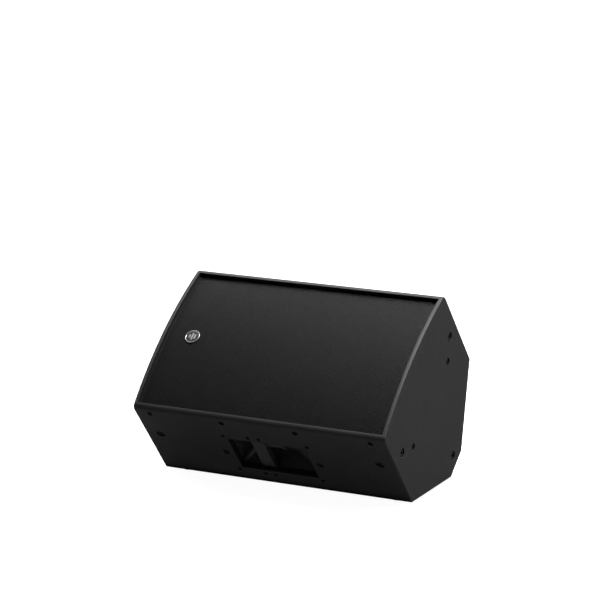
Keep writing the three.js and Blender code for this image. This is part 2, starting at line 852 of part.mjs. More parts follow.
// ---------- connector dish on the rear panel ----------
const dishPlate = (inset, low, high) => {
  const [w, h] = [dish.width / 2 - inset, dish.height / 2 - inset];
  const c = Math.max(dish.cornerIn - inset, 2);
  const outline = [
    [-w + c, -h],
    [w - c, -h],
    [w, -h + c],
    [w, h - c],
    [w - c, h],
    [-w + c, h],
    [-w, h - c],
    [-w, -h + c],
  ];
  return prism(outline, low, high, rear);
};
const dishFace = fit + 2.5;
const dishFloor = -dish.depth;
const socketRadius = 12;
const sockets = [-dish.socketPitch / 2, dish.socketPitch / 2];
const socketShell = 16;
const dishBody = join(dishPlate(0, fit, dishFace), dishPlate(dish.lip, dishFloor - dish.wall, fit + 1));
addPart(
  cabinet,
  "jack_dish",
  cut(
    dishBody,
    dishPlate(dish.lip + dish.wall, dishFloor, dishFace + 1),
    sockets.map((x) => rod(x, 0, socketShell + fit, dishFloor - dish.wall - 1, dishFloor + 1, rear, 20)),
    [-1, 1].flatMap((i) => [-1, 1].map((j) => rod(i * 66, j * 38, 2.2, -1, dishFace + 1, rear, 10))),
  ),
  material.plastic,
);
sockets.forEach((x, i) => {
  const plate = block([x - 13 - 3, x + 13 + 3], [-16, 16], [dishFloor + fit, dishFloor + 3], rear);
  const barrel = rod(x, 0, socketShell, dishFloor - 26, dishFloor + 1, rear, 20);
  const mouth = rod(x, 0, socketRadius, dishFloor - 20, dishFloor + 4, rear, 20);
  addPart(cabinet, `jack_socket_${i + 1}`, cut(join(plate, barrel), mouth), material.plastic);
});

// ---------- rigging plugs ----------
const onEnd = (sign) => endPoints.map((point) => ({ ...point, x: sign * point.y, y: point.z }));
const plugSets = [
  { name: "front_plug", points: sidePoints, frame: lowSide },
  { name: "top_plug", points: highPoints, frame: highSide },
  { name: "right_plug", points: onEnd(1), frame: rightEnd },
  { name: "left_plug", points: onEnd(-1), frame: leftEnd },
];
for (const { name, points, frame } of plugSets) {
  points.forEach((point, i) => addPart(cabinet, `${name}_${i + 1}`, riggingPlug(point, frame), material.steel));
}

// ---------- wedge: the cabinet tilted onto its floor panel, with what stands on that panel ----------
const wedge = new THREE.Group();
const sin = Math.sin(floorTilt);
const cos = Math.cos(floorTilt);
cabinet.rotation.x = floorTilt;
// The low rear corner comes to y = 0, and the floor panel's outer face to footHeight.
cabinet.position.set(0, half * cos - sideDepth * sin, half * sin + sideDepth * cos + footHeight);
wedge.add(cabinet);

const feet = [
  [-1, 28],
  [1, 28],
  [-1, floorLength - 28],
  [1, floorLength - 28],
];
feet.forEach(([side, y], i) => {
  const foot = turned(
    [
      [0, 0],
      [footRadius - 1.5, 0],
      [footRadius, 2],
      [footRadius - 1, footHeight - fit],
      [0, footHeight - fit],
    ],
    20,
    side * 255,
    y,
  );
  addPart(wedge, `rubber_foot_${i + 1}`, foot, material.rubber);
});

const boardFloor = footHeight + ply;
const board = { x: [40, 200], y: [floorLength - 120, floorLength - 20], lift: 8, thickness: 1.6 };
const boardTop = boardFloor + board.lift + board.thickness;
const standoff = (x, y) => rod(x, y, 3.5, boardFloor + fit, boardFloor + board.lift + 0.5, null, 10);
const standoffs = [board.x[0] + 8, board.x[1] - 8].flatMap((x) => [
  standoff(x, board.y[0] + 8),
  standoff(x, board.y[1] - 8),
]);
addPart(
  wedge,
  "crossover_board",
  join(block(board.x, board.y, [boardFloor + board.lift, boardTop]), standoffs),
  material.board,
);
const coil = (x, y, outer, inner, height) =>
  turned(
    [
      [inner, boardTop + fit],
      [outer, boardTop + fit],
      [outer, boardTop + fit + height],
      [inner, boardTop + fit + height],
    ],
    20,
    x,
    y,
  );
addPart(wedge, "bass_inductor", coil(80, board.y[0] + 50, 24, 9, 28), material.copper);
addPart(wedge, "treble_inductor", coil(172, board.y[0] + 26, 15, 6, 16), material.copper);
const capacitor = (x, y, radius, height) => rod(x, y, radius, boardTop + fit, boardTop + height, null, 20);
addPart(wedge, "capacitor_large", capacitor(130, board.y[0] + 24, 12, 38), material.plastic);
addPart(wedge, "capacitor_small", capacitor(140, board.y[0] + 74, 9, 28), material.plastic);

// ---------- origin under the middle of the box ----------
const group = new THREE.Group();
group.add(wedge);
const box = new THREE.Box3().setFromObject(wedge, true);
wedge.position.set(-(box.min.x + box.max.x) / 2, -(box.min.y + box.max.y) / 2, -box.min.z);

export default group;
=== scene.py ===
import bmesh
import bpy
import json
import math
from mathutils import Matrix, Vector


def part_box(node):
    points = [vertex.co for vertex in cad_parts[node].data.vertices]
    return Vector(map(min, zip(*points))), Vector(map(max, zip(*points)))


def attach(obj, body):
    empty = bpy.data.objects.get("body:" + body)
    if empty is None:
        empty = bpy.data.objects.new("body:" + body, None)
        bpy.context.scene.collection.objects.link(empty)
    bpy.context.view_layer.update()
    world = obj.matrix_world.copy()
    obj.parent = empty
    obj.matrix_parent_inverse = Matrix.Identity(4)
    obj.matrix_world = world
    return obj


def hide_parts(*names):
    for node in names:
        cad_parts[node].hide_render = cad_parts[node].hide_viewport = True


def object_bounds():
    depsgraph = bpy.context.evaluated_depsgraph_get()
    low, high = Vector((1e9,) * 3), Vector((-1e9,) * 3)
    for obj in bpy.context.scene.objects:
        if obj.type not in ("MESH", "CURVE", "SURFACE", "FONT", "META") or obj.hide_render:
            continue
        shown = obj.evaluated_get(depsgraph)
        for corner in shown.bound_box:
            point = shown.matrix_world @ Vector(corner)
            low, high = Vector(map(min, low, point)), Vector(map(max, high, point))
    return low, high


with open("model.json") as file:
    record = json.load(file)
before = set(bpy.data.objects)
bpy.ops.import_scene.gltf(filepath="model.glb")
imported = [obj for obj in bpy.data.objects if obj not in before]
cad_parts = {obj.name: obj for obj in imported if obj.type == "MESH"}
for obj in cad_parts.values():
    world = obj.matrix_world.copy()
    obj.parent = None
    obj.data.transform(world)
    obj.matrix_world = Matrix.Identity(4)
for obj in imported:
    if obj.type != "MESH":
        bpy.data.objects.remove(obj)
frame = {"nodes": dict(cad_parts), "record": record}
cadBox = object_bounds()
nodes = frame["nodes"]
print("frame loaded")

# The cabinet's own frame: x along it, y across its front, z out of its front.
# toRow puts it where the CAD has it.
cabinet = {
    "half": 0.194,  # half the width of the front
    "sideDepth": 0.221,
    "fullDepth": 0.349,
    "spineHalf": 0.036,
    "bulge": 0.021,  # rise of the curved front
    "ply": 0.015,
    "endLip": 0.009,  # rim beside the grille at the ends
    "sideLip": 0.013,  # and along the sides
    "baffleDrop": 0.0243,
    "frontFillet": 0.0101,  # how far the roundover of a long front edge reaches along each face
    "edgeRound": 0.0028,
    "rimRound": 0.0009,
    "frontFacets": 16,
}
half, sideDepth, fullDepth = cabinet["half"], cabinet["sideDepth"], cabinet["fullDepth"]
endLow, endHigh = (Vector(corner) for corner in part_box("end_panel_right"))
endX = endHigh.x
arcRadius = (half**2 + cabinet["bulge"] ** 2) / (2 * cabinet["bulge"])
arcCentre = cabinet["bulge"] - arcRadius
arcReach = math.asin(half / arcRadius)
floorTilt = math.atan2(fullDepth - sideDepth, half - cabinet["spineHalf"])
taperNormal = Vector((0, math.sin(floorTilt), -math.cos(floorTilt)))
tilt = Matrix.Rotation(floorTilt, 4, "X")
highRear = tilt @ Vector((0, half, -sideDepth))
lowRear = tilt @ Vector((0, -half, -sideDepth))
toRow = Matrix.Translation((0, endHigh.y - highRear.y, endLow.z - lowRear.z)) @ tilt
near = 1e-4  # two places closer than this are taken as one
clearFront = 0.05  # where a cutter ends in front of the cabinet
through = (-0.02, 0.01)  # from inside a panel to outside it


def panelMatrix(origin, across, outward):
    # the frame of a flat panel, with z out of it
    across, outward = Vector(across), Vector(outward)
    axes = Matrix((across, outward.cross(across), outward)).transposed()
    return Matrix.Translation(origin) @ axes.to_4x4()


taperMiddle = ((half + cabinet["spineHalf"]) / 2, -(sideDepth + fullDepth) / 2)
lowSide = panelMatrix((0, -half, 0), (1, 0, 0), (0, -1, 0))  # y is minus the distance below the front corner
highSide = panelMatrix((0, half, 0), (1, 0, 0), (0, 1, 0))
rearSide = panelMatrix((0, *taperMiddle), (1, 0, 0), taperNormal)
rightEnd = panelMatrix((endX, 0, 0), (0, 1, 0), (1, 0, 0))
leftEnd = panelMatrix((-endX, 0, 0), (0, -1, 0), (-1, 0, 0))


# helpers
def deselect():
    if bpy.context.object and bpy.context.object.mode != "OBJECT":
        bpy.ops.object.mode_set(mode="OBJECT")
    bpy.ops.object.select_all(action="DESELECT")


def only(piece):
    deselect()
    piece.select_set(True)
    bpy.context.view_layer.objects.active = piece
    return piece


def edit(piece):
    only(piece)
    bpy.ops.object.mode_set(mode="EDIT")


def choose(kind, test):
    # in edit mode: selects what passes the test and nothing else
    bpy.ops.mesh.select_mode(type={"verts": "VERT", "edges": "EDGE", "faces": "FACE"}[kind])
    bpy.ops.mesh.select_all(action="DESELECT")
    shape = bmesh.from_edit_mesh(bpy.context.object.data)
    for part in getattr(shape, kind):
        part.select_set(bool(test(part)))
    shape.select_flush_mode()
    bmesh.update_edit_mesh(bpy.context.object.data)


def modify(piece, kind, **settings):
    only(piece)
    bpy.ops.object.modifier_add(type=kind)
    modifier = piece.modifiers[-1]
    for name, value in settings.items():
        setattr(modifier, name, value)
    bpy.ops.object.modifier_apply(modifier=modifier.name)
    return piece


def cutWith(piece, cutter, operation="DIFFERENCE"):
    modify(piece, "BOOLEAN", object=cutter, operation=operation, solver="EXACT")
    bpy.data.objects.remove(cutter, do_unlink=True)
    return piece


def freeze(piece, matrix=None):
    # the object's place goes into its mesh
    only(piece)
    if matrix is not None:
        piece.matrix_world = matrix @ piece.matrix_world
    bpy.ops.object.transform_apply(location=True, rotation=True, scale=True)
    return piece


def joined(pieces):
    deselect()
    for piece in pieces:
        piece.select_set(True)
    bpy.context.view_layer.objects.active = pieces[0]
    bpy.ops.object.join()
    return pieces[0]


def copied(piece, matrix):
    only(piece)
    bpy.ops.object.duplicate()
    return freeze(bpy.context.object, matrix)


def smooth(piece, angle=32):
    only(piece)
    bpy.ops.object.shade_smooth_by_angle(angle=math.radians(angle))
    return piece


def cube(xs, ys, zs):
    deselect()
    bpy.ops.mesh.primitive_cube_add(size=1)
    made = bpy.context.object
    made.location = [(low + high) / 2 for low, high in (xs, ys, zs)]
    made.scale = [high - low for low, high in (xs, ys, zs)]
    return freeze(made)


def cylinder(radius, low, high, sides=32, matrix=None):
    deselect()
    bpy.ops.mesh.primitive_cylinder_add(
        vertices=sides, radius=radius, depth=high - low, location=(0, 0, (low + high) / 2)
    )
    return freeze(bpy.context.object, matrix)


def place(piece, name, material, body="cabinet", stands=()):
    piece.name = name
    piece.data.name = name
    piece.data.materials.clear()
    piece.data.materials.append(material)
    freeze(piece, toRow)
    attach(piece, body)
    if stands:
        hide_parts(*stands)
    return piece


# finishes
looks = {
    "coating": {"dark": 0.008, "light": 0.013, "grain": 900, "lumps": 260, "bump": 0.28,
                "rough": (0.5, 0.64)},
    "barePly": {"dark": (0.3, 0.19, 0.1), "light": (0.5, 0.35, 0.2), "grain": 60, "bump": 0.1,
                "rough": (0.6, 0.8)},
    "grille": {"dark": 0.0066, "light": 0.0096, "grain": 700, "bump": 0.05, "rough": (0.47, 0.51)},
    "foam": {"dark": 0.002, "light": 0.006, "grain": 1100, "lumps": 500, "bump": 0.6, "rough": (0.9, 1.0)},
    "badgeFace": {"dark": (0.026, 0.025, 0.032), "light": (0.035, 0.033, 0.042), "grain": 500, "bump": 0.02,
                  "rough": (0.2, 0.3)},
    "badgeRim": {"dark": 0.52, "light": 0.62, "grain": 800, "bump": 0.03, "rough": (0.2, 0.34), "metal": 1.0},
    "cast": {"dark": 0.034, "light": 0.048, "grain": 700, "lumps": 350, "bump": 0.12, "rough": (0.45, 0.6)},
    "plastic": {"dark": 0.014, "light": 0.022, "grain": 1300, "lumps": 500, "bump": 0.16,
                "rough": (0.45, 0.6)},
    # pocket: the handle cup's plastic painted about three times lighter than the other plastic, as painted
    # light inside the handle recess
    "pocket": {"dark": 0.05, "light": 0.075, "grain": 1300, "lumps": 500, "bump": 0.16, "rough": (0.5, 0.65)},
    "steel": {"dark": 0.004, "light": 0.009, "grain": 900, "bump": 0.05, "rough": (0.42, 0.55)},
    "plated": {"dark": 0.42, "light": 0.6, "grain": 400, "bump": 0.04, "rough": (0.25, 0.4), "metal": 1.0},
    "ferrite": {"dark": 0.035, "light": 0.06, "grain": 350, "bump": 0.1, "rough": (0.5, 0.7)},
    "paper": {"dark": 0.012, "light": 0.028, "grain": 500, "lumps": 200, "bump": 0.3, "rough": (0.75, 0.95)},
    "cloth": {"dark": (0.1, 0.07, 0.03), "light": (0.2, 0.15, 0.08), "grain": 900, "bump": 0.4,
              "rough": (0.8, 1)},
    "copper": {"dark": (0.42, 0.16, 0.07), "light": (0.7, 0.34, 0.18), "grain": 200, "bump": 0.1,
               "rough": (0.25, 0.4), "metal": 1.0},
    "board": {"dark": (0.01, 0.07, 0.02), "light": (0.02, 0.12, 0.04), "grain": 150, "bump": 0.05,
              "rough": (0.35, 0.5)},
    "rubber": {"dark": 0.010, "light": 0.018, "grain": 900, "lumps": 300, "bump": 0.2, "rough": (0.65, 0.85)},
    "wadding": {"dark": 0.55, "light": 0.78, "grain": 180, "lumps": 60, "bump": 0.9, "rough": (0.95, 1.0)},
}

texture = {
    "patches": 9,  # scale of the slow changes of tone and roughness
    "patchRange": (0.3, 0.7),
    "relief": 0.0004,
    "lumpRelief": 1.5,  # depth and strength of the lumps, as shares of the fine relief's
    "lumpStrength": 0.8,
}


def colourOf(value):
    return (*value, 1) if isinstance(value, tuple) else (value, value, value, 1)


def finishOf(name):
    look = looks[name]
    material = bpy.data.materials.new(name)
    material.use_nodes = True
    tree = material.node_tree
    shader = tree.nodes["Principled BSDF"]
    shader.inputs["Metallic"].default_value = look.get("metal", 0.0)
    shader.inputs["Specular IOR Level"].default_value = 0.5
    onPiece = tree.nodes.new("ShaderNodeTexCoord")

    def noise(scale, detail):
        made = tree.nodes.new("ShaderNodeTexNoise")
        made.inputs["Scale"].default_value = scale
        made.inputs["Detail"].default_value = detail
        tree.links.new(onPiece.outputs["Object"], made.inputs["Vector"])
        return made

    grain = noise(look["grain"], 4)
    patches = noise(texture["patches"], 5)
    tone = tree.nodes.new("ShaderNodeMix")
    tone.data_type = "RGBA"
    tone.inputs["A"].default_value = colourOf(look["dark"])
    tone.inputs["B"].default_value = colourOf(look["light"])
    blend = tree.nodes.new("ShaderNodeMath")
    blend.operation = "MULTIPLY_ADD"
    blend.inputs[1].default_value = 0.5
    halfPatches = tree.nodes.new("ShaderNodeMath")
    halfPatches.operation = "MULTIPLY"
    halfPatches.inputs[1].default_value = 0.5
    tree.links.new(patches.outputs["Fac"], halfPatches.inputs[0])
    tree.links.new(grain.outputs["Fac"], blend.inputs[0])
    tree.links.new(halfPatches.outputs[0], blend.inputs[2])
    tree.links.new(blend.outputs[0], tone.inputs["Factor"])
    tree.links.new(tone.outputs["Result"], shader.inputs["Base Color"])
    rough = tree.nodes.new("ShaderNodeMapRange")
    rough.inputs["From Min"].default_value, rough.inputs["From Max"].default_value = texture["patchRange"]
    rough.inputs["To Min"].default_value, rough.inputs["To Max"].default_value = look["rough"]
    tree.links.new(patches.outputs["Fac"], rough.inputs["Value"])
    tree.links.new(rough.outputs["Result"], shader.inputs["Roughness"])
    fine = tree.nodes.new("ShaderNodeBump")
    fine.inputs["Strength"].default_value = look["bump"]
    fine.inputs["Distance"].default_value = texture["relief"]
    tree.links.new(grain.outputs["Fac"], fine.inputs["Height"])
    last = fine
    if "lumps" in look:  # a second, coarser relief under the fine one
        cells = tree.nodes.new("ShaderNodeTexVoronoi")
        cells.feature = "SMOOTH_F1"
        cells.inputs["Scale"].default_value = look["lumps"]
        tree.links.new(onPiece.outputs["Object"], cells.inputs["Vector"])
        coarse = tree.nodes.new("ShaderNodeBump")
        coarse.inputs["Strength"].default_value = look["bump"] * texture["lumpStrength"]
        coarse.inputs["Distance"].default_value = texture["relief"] * texture["lumpRelief"]
        tree.links.new(cells.outputs["Distance"], coarse.inputs["Height"])
        tree.links.new(fine.outputs["Normal"], coarse.inputs["Normal"])
        last = coarse
    tree.links.new(last.outputs["Normal"], shader.inputs["Normal"])
    return material


finishes = {name: finishOf(name) for name in looks}
print("finishes made")

# camera, floor and light
cameraView = {
    "place": (2.52750, -4.93961, 1.71335),
    "right": (0.89042134, 0.45509559, -0.00615182),
    "up": (-0.09972218, 0.20826467, 0.9729755),
    "back": (0.44407806, -0.86574467, 0.23082643),
    "lens": 158.63,
    "sensor": 36,
    "reach": 100,
}
deselect()
bpy.ops.object.camera_add()
camera = bpy.context.object
axes = Matrix((cameraView["right"], cameraView["up"], cameraView["back"])).transposed()
camera.matrix_world = Matrix.Translation(cameraView["place"]) @ axes.to_4x4()
camera.data.lens = cameraView["lens"]
camera.data.sensor_width = cameraView["sensor"]
camera.data.clip_end = cameraView["reach"]
bpy.context.scene.camera = camera
bpy.context.scene.view_settings.view_transform = "Standard"

studio = {
    "ceiling": 0.28,
    "ceilingRise": (0.55, 0.95),  # how steeply up a ray points where the ceiling starts and is full
    "floor": 0.6,
    "floorSize": 60,
    "glow": 0.96,  # keeps the floor pale and even where it is looked at
    "bounce": 0.12,  # what the floor gives back to the object
    "lamps": {
        # name: place, aimed at, size, watts
        "overhead": ((0.6, 0.12, 3.1), (0.55, 0.12, 0), (1.6, 0.9), 176),
        "right": ((3.0, 1.8, 0.9), (0, 0, 0.2), (1.4, 1.2), 24),
        "low": ((-0.1, -0.42, 0.002), (-0.1, -0.42, 1), (1.6, 0.66), 0.36),
        "behind": ((-1.4, 1.3, 3.0), (0, 0, 0.3), (1.8, 1.0), 36),
        "left": ((-3.2, 1.0, 1.0), (0, 0, 0.2), (1.6, 1.4), 24),
        "rear": ((0.4, 3.6, 0.8), (0, 0, 0.2), (2.4, 1.2), 30),
    },
}
world = bpy.context.scene.world or bpy.data.worlds.new("studio")
bpy.context.scene.world = world
world.use_nodes = True
sky = world.node_tree
background = sky.nodes["Background"]
background.inputs["Color"].default_value = (1, 1, 1, 1)
skyward = sky.nodes.new("ShaderNodeSeparateXYZ")
direction = sky.nodes.new("ShaderNodeTexCoord")
ceiling = sky.nodes.new("ShaderNodeMapRange")  # a light ceiling over dark walls
ceiling.inputs["From Min"].default_value, ceiling.inputs["From Max"].default_value = studio["ceilingRise"]
ceiling.inputs["To Max"].default_value = studio["ceiling"]
sky.links.new(direction.outputs["Generated"], skyward.inputs[0])
sky.links.new(skyward.outputs["Z"], ceiling.inputs["Value"])
seen = sky.nodes.new("ShaderNodeLightPath")  # looked at, the walls are as pale as the floor
backdrop = sky.nodes.new("ShaderNodeMath")
backdrop.operation = "MAXIMUM"
sky.links.new(ceiling.outputs["Result"], backdrop.inputs[0])
sky.links.new(seen.outputs["Is Camera Ray"], backdrop.inputs[1])
sky.links.new(backdrop.outputs[0], background.inputs["Strength"])
for lampName, (spot, aim, size, watts) in studio["lamps"].items():
    bpy.ops.object.light_add(type="AREA", location=spot)
    lamp = bpy.context.object
    lamp.name = lampName
    lamp.data.shape = "RECTANGLE"
    lamp.data.size, lamp.data.size_y = size
    lamp.data.energy = watts
    lamp.visible_camera = False
    lamp.rotation_euler = (Vector(aim) - Vector(spot)).to_track_quat("-Z", "Y").to_euler()

bpy.ops.mesh.primitive_plane_add(size=studio["floorSize"], location=(0, 0, cadBox[0][2]))
floor = bpy.context.object
floor.name = "studio_floor"
paper = bpy.data.materials.new("studioPaper")
paper.use_nodes = True
paperTree = paper.node_tree
paperShader = paperTree.nodes["Principled BSDF"]
paperShader.inputs["Roughness"].default_value = 1.0
paperShader.inputs["Specular IOR Level"].default_value = 0.0
sight = paperTree.nodes.new("ShaderNodeLightPath")
shade = paperTree.nodes.new("ShaderNodeMix")
shade.data_type = "RGBA"
shade.inputs["A"].default_value = colourOf(studio["bounce"])
shade.inputs["B"].default_value = colourOf(studio["floor"])
paperTree.links.new(sight.outputs["Is Camera Ray"], shade.inputs["Factor"])
paperTree.links.new(shade.outputs["Result"], paperShader.inputs["Base Color"])
glow = paperTree.nodes.new("ShaderNodeMath")
glow.operation = "MULTIPLY"
glow.inputs[1].default_value = studio["glow"]
paperShader.inputs["Emission Color"].default_value = (1, 1, 1, 1)
paperTree.links.new(sight.outputs["Is Camera Ray"], glow.inputs[0])
paperTree.links.new(glow.outputs[0], paperShader.inputs["Emission Strength"])
floor.data.materials.append(paper)
print("studio made")


# cabinet shell: one coated plywood box
def taperedBlock(inset, top):
    bottom = inset - fullDepth
    block = cube((inset - endX, endX - inset), (inset - half, half - inset), (bottom, top))
    edit(block)
    for side in (1, -1):
        normal = Vector((0, side * taperNormal.y, taperNormal.z))
        corner = Vector((0, side * half, -sideDepth)) - normal * inset
        bpy.ops.mesh.select_all(action="SELECT")
        bpy.ops.mesh.bisect(plane_co=corner, plane_no=normal, use_fill=True, clear_outer=True)
    bpy.ops.object.mode_set(mode="OBJECT")
    return block


def curveTop(block, drop, facets=None):
    # planes a little apart round the arc take off the top
    count = facets or cabinet["frontFacets"]
    edit(block)
    for k in range(count):
        angle = arcReach * ((2 * k + 1) / count - 1)
        touch = (0, arcRadius * math.sin(angle), arcCentre - drop + arcRadius * math.cos(angle))
        bpy.ops.mesh.select_all(action="SELECT")
        bpy.ops.mesh.bisect(
            plane_co=touch, plane_no=(0, math.sin(angle), math.cos(angle)), use_fill=True, clear_outer=True
        )
    bpy.ops.object.mode_set(mode="OBJECT")
    return block


def bore(matrix, x, y, radius, depth, flare=0.0004, sides=24):
    # a cutter for a hole with a chamfered mouth
    deselect()
    bpy.ops.mesh.primitive_circle_add(
        vertices=sides, radius=radius, fill_type="NGON", location=(x, y, -depth)
    )
    cutter = bpy.context.object
    edit(cutter)
    bpy.ops.mesh.select_all(action="SELECT")
    bpy.ops.mesh.extrude_region_move(TRANSFORM_OT_translate={"value": (0, 0, depth - flare)})
    bpy.ops.mesh.extrude_region_move(TRANSFORM_OT_translate={"value": (0, 0, 2 * flare)})
    spread = 1 + 2 * flare / radius
    bpy.ops.transform.resize(value=(spread, spread, 1), center_override=(x, y, flare))
    bpy.ops.mesh.select_all(action="SELECT")
    bpy.ops.mesh.normals_make_consistent(inside=False)
    bpy.ops.object.mode_set(mode="OBJECT")
    return freeze(cutter, matrix)


ply = cabinet["ply"]
rigging = {
    "big": {"bore": 0.010, "depth": 0.0055},
    "small": {"bore": 0.008, "depth": 0.0055},
    "ends": [(-0.155, -0.0935, "big"), (0.155, -0.0935, "big"), (0, -0.318, "big"),
             (-0.114, -0.129, "small"), (0.114, -0.129, "small")],
    "sides": [(-0.263, -0.090, "big"), (0.263, -0.090, "big"),
              (-0.113, -0.1255, "small"), (0.113, -0.1255, "small")],
}
screwWells = {"grille": 0.0062, "handle": 0.0044, "depth": 0.0055}
screwPlaces = {
    "grille": [(x, -0.0165) for x in (-0.263, -0.0875, 0.0875, 0.263)],
    "handle": [(x, -below) for x in (-0.101, 0.101) for below in (0.0645, 0.1855)]
    + [(x, -below) for x in (-0.0391, -0.0137) for below in (0.0607, 0.1894)],
    "dish": [(x, y) for x in (-0.066, 0.066) for y in (-0.038, 0.038)],
}
handleOpening = {"half": 0.092, "front": -0.072, "rear": -0.176, "easing": 0.0014}
dish = {"halfWidth": 0.0663, "halfHeight": 0.0373}
pole = {"z": -0.176, "hole": 0.0203, "depth": 0.020, "seat": 0.0343, "seatDepth": 0.003}

riggingPoints = []  # (CAD node, panel, x, y, size)
for i, (x, y, size) in enumerate(rigging["ends"], 1):
    riggingPoints.append((f"right_plug_{i}", rightEnd, x, y, size))
    riggingPoints.append((f"left_plug_{i}", leftEnd, -x, y, size))
for i, (x, y, size) in enumerate(rigging["sides"], 1):
    riggingPoints.append((f"front_plug_{i}", lowSide, x, y, size))
    if size == "big":
        riggingPoints.append((f"top_plug_{i}", highSide, x, -y, size))

rebateX, rebateY = endX - cabinet["endLip"], half - cabinet["sideLip"]


def isRim(edge):
    # an edge of the front's rim round the grille
    if not all(v.co.z > -0.02 for v in edge.verts):
        return False
    onEnd = all(abs(abs(v.co.x) - rebateX) < near and abs(v.co.y) < rebateY + near for v in edge.verts)
    onSide = all(abs(abs(v.co.y) - rebateY) < near and abs(v.co.x) < rebateX + near for v in edge.verts)
    return (onEnd or onSide) and edge.calc_face_angle(0) > math.radians(40)


shell = curveTop(taperedBlock(0, cabinet["bulge"] + 0.01), 0)
edit(shell)
choose("edges", lambda e: all(abs(v.co.y) > half - near and v.co.z > -0.01 for v in e.verts))
bpy.ops.mesh.bevel(offset=cabinet["frontFillet"], segments=7, affect="EDGES")
choose("edges", lambda e: len(e.link_faces) == 2 and e.calc_face_angle() > math.radians(22))
bpy.ops.mesh.bevel(offset=cabinet["edgeRound"], segments=3, affect="EDGES")
cutWith(shell, taperedBlock(ply, clearFront))
cutWith(shell, cube((-rebateX, rebateX), (-rebateY, rebateY), (-cabinet["baffleDrop"], clearFront)))
edit(shell)
choose("edges", isRim)
bpy.ops.mesh.bevel(offset=cabinet["rimRound"], segments=2, affect="EDGES")

cutters = []
for _, panel, x, y, size in riggingPoints:
    cutters.append(bore(panel, x, y, rigging[size]["bore"], rigging[size]["depth"]))
wellDepth = screwWells["depth"]
cutters += [bore(lowSide, x, y, screwWells["grille"], wellDepth) for x, y in screwPlaces["grille"]]
cutters += [bore(highSide, x, -y, screwWells["grille"], wellDepth) for x, y in screwPlaces["grille"]]
cutters += [bore(lowSide, x, y, screwWells["handle"], wellDepth, sides=20) for x, y in screwPlaces["handle"]]
cutters += [bore(leftEnd, 0, pole["z"], pole["seat"], pole["seatDepth"], 0.0006, 48)]
cutWith(shell, joined(cutters))
cutWith(shell, bore(leftEnd, 0, pole["z"], pole["hole"], pole["depth"], sides=32))
openingHalf = handleOpening["half"]
acrossOpening = (handleOpening["rear"], handleOpening["front"])
cutWith(shell, freeze(cube((-openingHalf, openingHalf), acrossOpening, through), lowSide))
easing = handleOpening["easing"]  # the edge that the pocket ramps out to is eased
corner = cube((-easing, easing), acrossOpening, (-easing, easing))
corner.rotation_euler.y = math.radians(45)
corner.location.x = openingHalf
cutWith(shell, freeze(freeze(corner), lowSide))
dishAcross, dishUp = dish["halfWidth"], dish["halfHeight"]
cutWith(shell, freeze(cube((-dishAcross, dishAcross), (-dishUp, dishUp), through), rearSide))
smooth(shell)
modify(shell, "WEIGHTED_NORMAL", keep_sharp=True)
place(
    shell, "cabinet_shell", finishes["coating"],
    stands=["end_panel_right", "end_panel_left", "handle_side_panel", "top_side_panel",
            "floor_panel", "rear_panel", "spine_panel"],
)
print("cabinet shell cut")

# grille: perforated sheet in two lengths, and its folded border
mesh = {
    "recess": 0.010,
    "cellsAcross": 84,
    "openShare": 0.86,  # hole across its flats, as a share of the pitch
    "thickness": 0.0014,
    "halfX": 0.2905,
    "halfY": 0.1805,
    "border": 0.0014,
    "fold": 0.0015,
    "bottom": -0.021,
    "borderDrop": 0.0006,  # the border lies this much under the mesh
    "underDrop": 0.0026,  # and its underside this much
    "pastEnds": 0.31,
    "badgeHole": 0.0068,
    "merge": 0.05,  # corners this share of a bar apart are joined
}
arcHalf = arcRadius * math.asin((mesh["halfY"] - 0.001) / arcRadius)
pitch = 2 * arcHalf / (mesh["cellsAcross"] + 0.5)
rowStep = pitch * math.sqrt(3) / 2
rowPairs = int((mesh["halfX"] - 0.0005) / (2 * rowStep))
badgeX = -0.229  # middle of the badge along the cabinet


